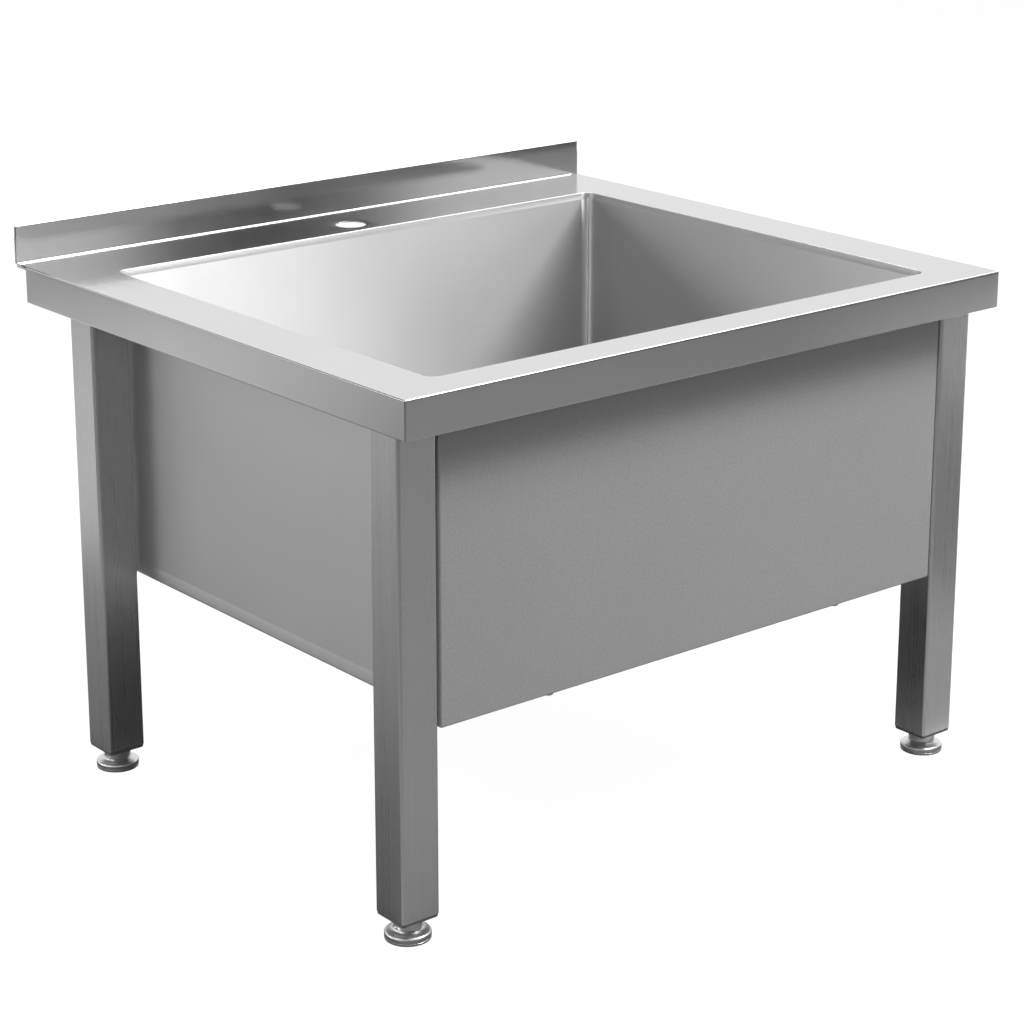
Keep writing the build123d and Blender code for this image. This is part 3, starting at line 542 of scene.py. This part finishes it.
# ------------------------------------------------------------------ front panel
# A pan-folded 1.2 mm panel that closes the front between the legs, hung from the front rail and
# held by two screws into angles on the bowl. Its finish is a fine, slightly mottled grain.
PANEL_X, PANEL_Y, PANEL_LOW, PANEL_HIGH = 340 * MM, -321.5 * MM, 218 * MM, 556 * MM
PANEL_SHEET, PANEL_FOLD = 1.2 * MM, 12 * MM
panel = bmesh.new()
bmesh.ops.create_grid(panel, x_segments=1, y_segments=1, size=0.5, matrix=Matrix.Rotation(math.radians(90), 4, "X"))
bmesh.ops.scale(panel, verts=panel.verts[:], vec=(2 * PANEL_X, 1, PANEL_HIGH - PANEL_LOW))
bmesh.ops.translate(panel, verts=panel.verts[:], vec=(0, PANEL_Y, (PANEL_HIGH + PANEL_LOW) / 2))
fold(panel, panel.edges[:], (0, PANEL_FOLD, 0))
round_off(panel, [e for e in panel.edges if len(e.link_faces) == 2], 2 * MM, 4)
face_outwards(panel, (0, -1, 0))
panel_steel = steel("mottled panel steel", (160, 160, 45), bump=0.10, tone=(0.69, 0.69, 0.69, 1), tone_change=0.05, streaks=0.05,
                    roughness=0.60, smears=0.04, mottle=0.40, mottle_size=420.0, edge_width=0.002, edge_rub=0.12,
                    stretch=0.5, stretch_turn=0.25, metallic=0.1)
make_piece("panel_pan", panel, panel_steel, "sink", ["front_panel"], wall=PANEL_SHEET)
dress(frame_steel, "panel_lug_left", "panel_lug_right")
dress(screw_steel, "panel_screws")

# ------------------------------------------------------------------ waste
# A pressed and polished flange with its dish, clamped on the pan between two rubber seals by a
# centre screw that pulls a white moulded body up from below. Its tail takes the trap.
waste_steel = steel("polished waste steel", (200, 200, 8), bump=0.02, tone=(0.74, 0.74, 0.74, 1), tone_change=0.05, streaks=0.05,
                    roughness=0.16, smears=0.1, edge_width=0.0008, edge_rub=0.15)
dress(waste_steel, "waste_flange")
dress(screw_steel, "waste_screw")


def moulding(name, dark, light, sheen_low, sheen_high, grain, bump):
    """A moulded or cut polymer: a fine skin with slow changes of tone."""
    material = bpy.data.materials.new(name)
    material.use_nodes = True
    tree = material.node_tree
    shader = tree.nodes["Principled BSDF"]
    place = add_node(tree, "TexCoord")
    skin = add_node(tree, "TexNoise")
    skin.inputs["Scale"].default_value = grain
    skin.inputs["Detail"].default_value = 4.0
    tree.links.new(place.outputs["Object"], skin.inputs["Vector"])
    tones = add_node(tree, "ValToRGB")
    tones.color_ramp.elements[0].color = (*dark, 1)
    tones.color_ramp.elements[1].color = (*light, 1)
    tree.links.new(skin.outputs["Fac"], tones.inputs["Fac"])
    tree.links.new(tones.outputs["Color"], shader.inputs["Base Color"])
    sheen = add_node(tree, "MapRange")
    sheen.inputs["To Min"].default_value = sheen_low
    sheen.inputs["To Max"].default_value = sheen_high
    tree.links.new(skin.outputs["Fac"], sheen.inputs["Value"])
    tree.links.new(sheen.outputs[0], shader.inputs["Roughness"])
    relief = add_node(tree, "Bump")
    relief.inputs["Strength"].default_value = bump
    relief.inputs["Distance"].default_value = 0.0003
    tree.links.new(skin.outputs["Fac"], relief.inputs["Height"])
    tree.links.new(relief.outputs[0], shader.inputs["Normal"])
    return material


dress(moulding("white moulded polypropylene", (0.66, 0.66, 0.65), (0.78, 0.78, 0.77), 0.35, 0.55, 500.0, 0.08), "waste_body", "waste_tail")
dress(moulding("black seal rubber", (0.020, 0.020, 0.020), (0.055, 0.055, 0.055), 0.6, 0.85, 900.0, 0.2),
      "waste_seal_upper", "waste_seal_lower")

# ------------------------------------------------------------------ strainer basket
# Pressed from thin stainless sheet and pierced with slots; it drops into the flange's dish and
# lifts out by the knob on its stem.
dress(waste_steel, "strainer_basket")

# ------------------------------------------------------------------ earthing tag
# A small folded angle on the rear right leg, for the cable that bonds the sink to earth.
dress(frame_steel, "bonding_tag")

# ------------------------------------------------------------------ studio
# A pale floor in a white surround. Most light comes from high on the right, with small soft
# boxes on the other sides. Grey cards and dark drapes stand outside the shot, and only the
# steel's reflections see them: they draw the dark and light bands of the real piece.
floor_mesh = bmesh.new()
bmesh.ops.create_grid(floor_mesh, x_segments=1, y_segments=1, size=9.0)
floor_data = bpy.data.meshes.new("floor")
floor_mesh.to_mesh(floor_data)
floor_mesh.free()
floor = bpy.data.objects.new("floor", floor_data)
bpy.context.collection.objects.link(floor)
paper = bpy.data.materials.new("pale floor paper")
paper.use_nodes = True
tree = paper.node_tree
shader = tree.nodes["Principled BSDF"]
shader.inputs["Base Color"].default_value = (0.20, 0.20, 0.20, 1)
shader.inputs["Roughness"].default_value = 0.95
shader.inputs["Emission Color"].default_value = (1, 1, 1, 1)
rays = add_node(tree, "LightPath")
seen = math_node(tree, "MAXIMUM", rays.outputs["Is Camera Ray"], rays.outputs["Is Glossy Ray"])
seen = math_node(tree, "MAXIMUM", seen, rays.outputs["Is Transmission Ray"])
tree.links.new(math_node(tree, "MULTIPLY", seen, 0.95), shader.inputs["Emission Strength"])
floor_data.materials.append(paper)


def card(name, centre, across, up, tone, glossy_only=True):
    """A flat studio card, from its centre and two half-size vectors."""
    board = bmesh.new()
    a, b, c = Vector(across), Vector(up), Vector(centre)
    board.faces.new([board.verts.new(c + p) for p in (-a - b, a - b, a + b, b - a)])
    data = bpy.data.meshes.new(name)
    board.to_mesh(data)
    board.free()
    made = bpy.data.objects.new(name, data)
    bpy.context.collection.objects.link(made)
    skin = bpy.data.materials.new(name)
    skin.use_nodes = True
    skin.node_tree.nodes["Principled BSDF"].inputs["Base Color"].default_value = (tone, tone, tone, 1)
    skin.node_tree.nodes["Principled BSDF"].inputs["Roughness"].default_value = 0.9
    skin.node_tree.nodes["Principled BSDF"].inputs["Specular IOR Level"].default_value = 0.0
    data.materials.append(skin)
    made.visible_camera = False
    if glossy_only:
        made.visible_diffuse = made.visible_shadow = made.visible_transmission = False
    return made


# Painted light: this floor card's tone runs from dark towards the front left to light towards the back right, standing
# in for how the light falls across the floor in the steel's reflections.
graded = card("floor card with painted light falloff", (0, 0, 0.0004), (6, 0, 0), (0, 6, 0), 0.5)
tree = graded.data.materials[0].node_tree
place = add_node(tree, "TexCoord")
parts = add_node(tree, "SeparateXYZ")
tree.links.new(place.outputs["Object"], parts.inputs[0])
painted_light_fade = add_node(tree, "MapRange")
for key, value in (("From Min", -0.4), ("From Max", 0.4), ("To Min", 0.34), ("To Max", 1.0)):
    painted_light_fade.inputs[key].default_value = value
slant = math_node(tree, "ADD", math_node(tree, "MULTIPLY", parts.outputs["X"], 0.9), parts.outputs["Y"])
tree.links.new(slant, painted_light_fade.inputs["Value"])
tree.links.new(painted_light_fade.outputs[0], tree.nodes["Principled BSDF"].inputs["Base Color"])
card("grey card before the feet", (0.2, -0.52, 0.0006), (0.9, 0, 0), (0, 0.15, 0), 0.38)
card("grey card before the right leg", (1.15, -1.03, 0.0007), (0.45, 0, 0), (0, 0.36, 0), 0.18)
card("grey card at the left", (-0.86, 0.25, 0.0006), (0.44, 0, 0), (0, 0.65, 0), 0.43)
card("grey card far in front", (1.5, -2.60, 0.0006), (2.2, 0, 0), (0, 0.72, 0), 0.36)
# Painted shadow: the dark card under the sink stands in for the sink's shadow on the floor, seen only in the steel's
# reflections.
card("painted shadow card under the sink", (0, 0, 0.0008), (0.42, 0, 0), (0, 0.34, 0), 0.18)
card("dark stand", (1.93, -2.6, 1.4), (0.40, 0, 0), (0, 0, 0.7), 0.10)


def drape(name, start, end, low, high, tone, radius=3.3):
    """A curved dark drape round the set, between two bearings and two heights."""
    cloth = bmesh.new()
    bearing = Vector((math.sin(math.radians(start)), math.cos(math.radians(start)), 0)) * radius
    ends = [cloth.verts.new(bearing + Vector((0, 0, z))) for z in (low, high)]
    bmesh.ops.spin(cloth, geom=ends + [cloth.edges.new(ends)], cent=(0, 0, 0), axis=(0, 0, -1),
                   angle=math.radians(end - start), steps=24, use_merge=False, use_duplicate=False)
    made = card(name, (0, 0, 5), (0.1, 0, 0), (0, 0.1, 0), tone)
    cloth.to_mesh(made.data)
    cloth.free()


drape("dark drape hung in front", 105, 232, 1.85, 4.8, 0.12)
drape("dark drape along the floor", 105, 232, 0.02, 1.00, 0.12)
drape("dark drape hung on the left", 232, 345, 1.75, 4.8, 0.08)

world = bpy.data.worlds.new("surround")
bpy.context.scene.world = world
world.use_nodes = True
tree = world.node_tree
rays = add_node(tree, "LightPath")
seen = math_node(tree, "MAXIMUM", rays.outputs["Is Camera Ray"], rays.outputs["Is Glossy Ray"])
seen = math_node(tree, "MAXIMUM", seen, rays.outputs["Is Transmission Ray"])
level = add_node(tree, "MapRange")
level.inputs["To Min"].default_value = 0.15
level.inputs["To Max"].default_value = 1.0
tree.links.new(seen, level.inputs["Value"])
tree.links.new(level.outputs[0], tree.nodes["Background"].inputs["Strength"])
tree.nodes["Background"].inputs["Color"].default_value = (1, 1, 1, 1)


def soft_light(name, place, aim, width, height, power):
    """A rectangular softbox aimed at a point."""
    data = bpy.data.lights.new(name, "AREA")
    data.shape, data.size, data.size_y, data.energy = "RECTANGLE", width, height, power
    lamp = bpy.data.objects.new(name, data)
    lamp.location = place
    lamp.rotation_euler = (Vector(aim) - Vector(place)).to_track_quat("-Z", "Y").to_euler()
    lamp.visible_camera = False
    bpy.context.collection.objects.link(lamp)
    return lamp


soft_light("overhead softbox", (0.55, -0.55, 2.7), (0, 0, 0.4), 1.5, 1.5, 5)
soft_light("high softbox on the right", (1.6, -0.85, 2.62), (0, 0, 0.4), 3.0, 1.1, 43)
soft_light("key light high in front on the right", (1.05, -1.35, 2.75), (0, -0.2, 0.4), 0.9, 0.7, 29)
soft_light("high softbox behind", (0.95, 1.3, 2.6), (0, -0.2, 0.4), 1.0, 0.6, 10)
soft_light("high softbox on the left", (-2.38, 0, 2.11), (0, 0, 0.4), 0.8, 0.5, 7)
soft_light("low softbox behind the left side", (-2.40, 1.45, 1.10), (0, 0, 0.45), 0.7, 0.3, 13)

camera_data = bpy.data.cameras.new("camera")
camera = bpy.data.objects.new("camera", camera_data)
bpy.context.collection.objects.link(camera)
camera.location = (-1.81223, -2.22831, 1.23021)
camera.rotation_euler = (math.pi / 2 - 0.281517, 0, -0.685556)
camera_data.sensor_width = 36
camera_data.lens = 2728.22 / 1024 * 36
camera_data.shift_y = -102 / 1024
bpy.context.scene.camera = camera
bpy.context.scene.view_settings.view_transform = "Standard"
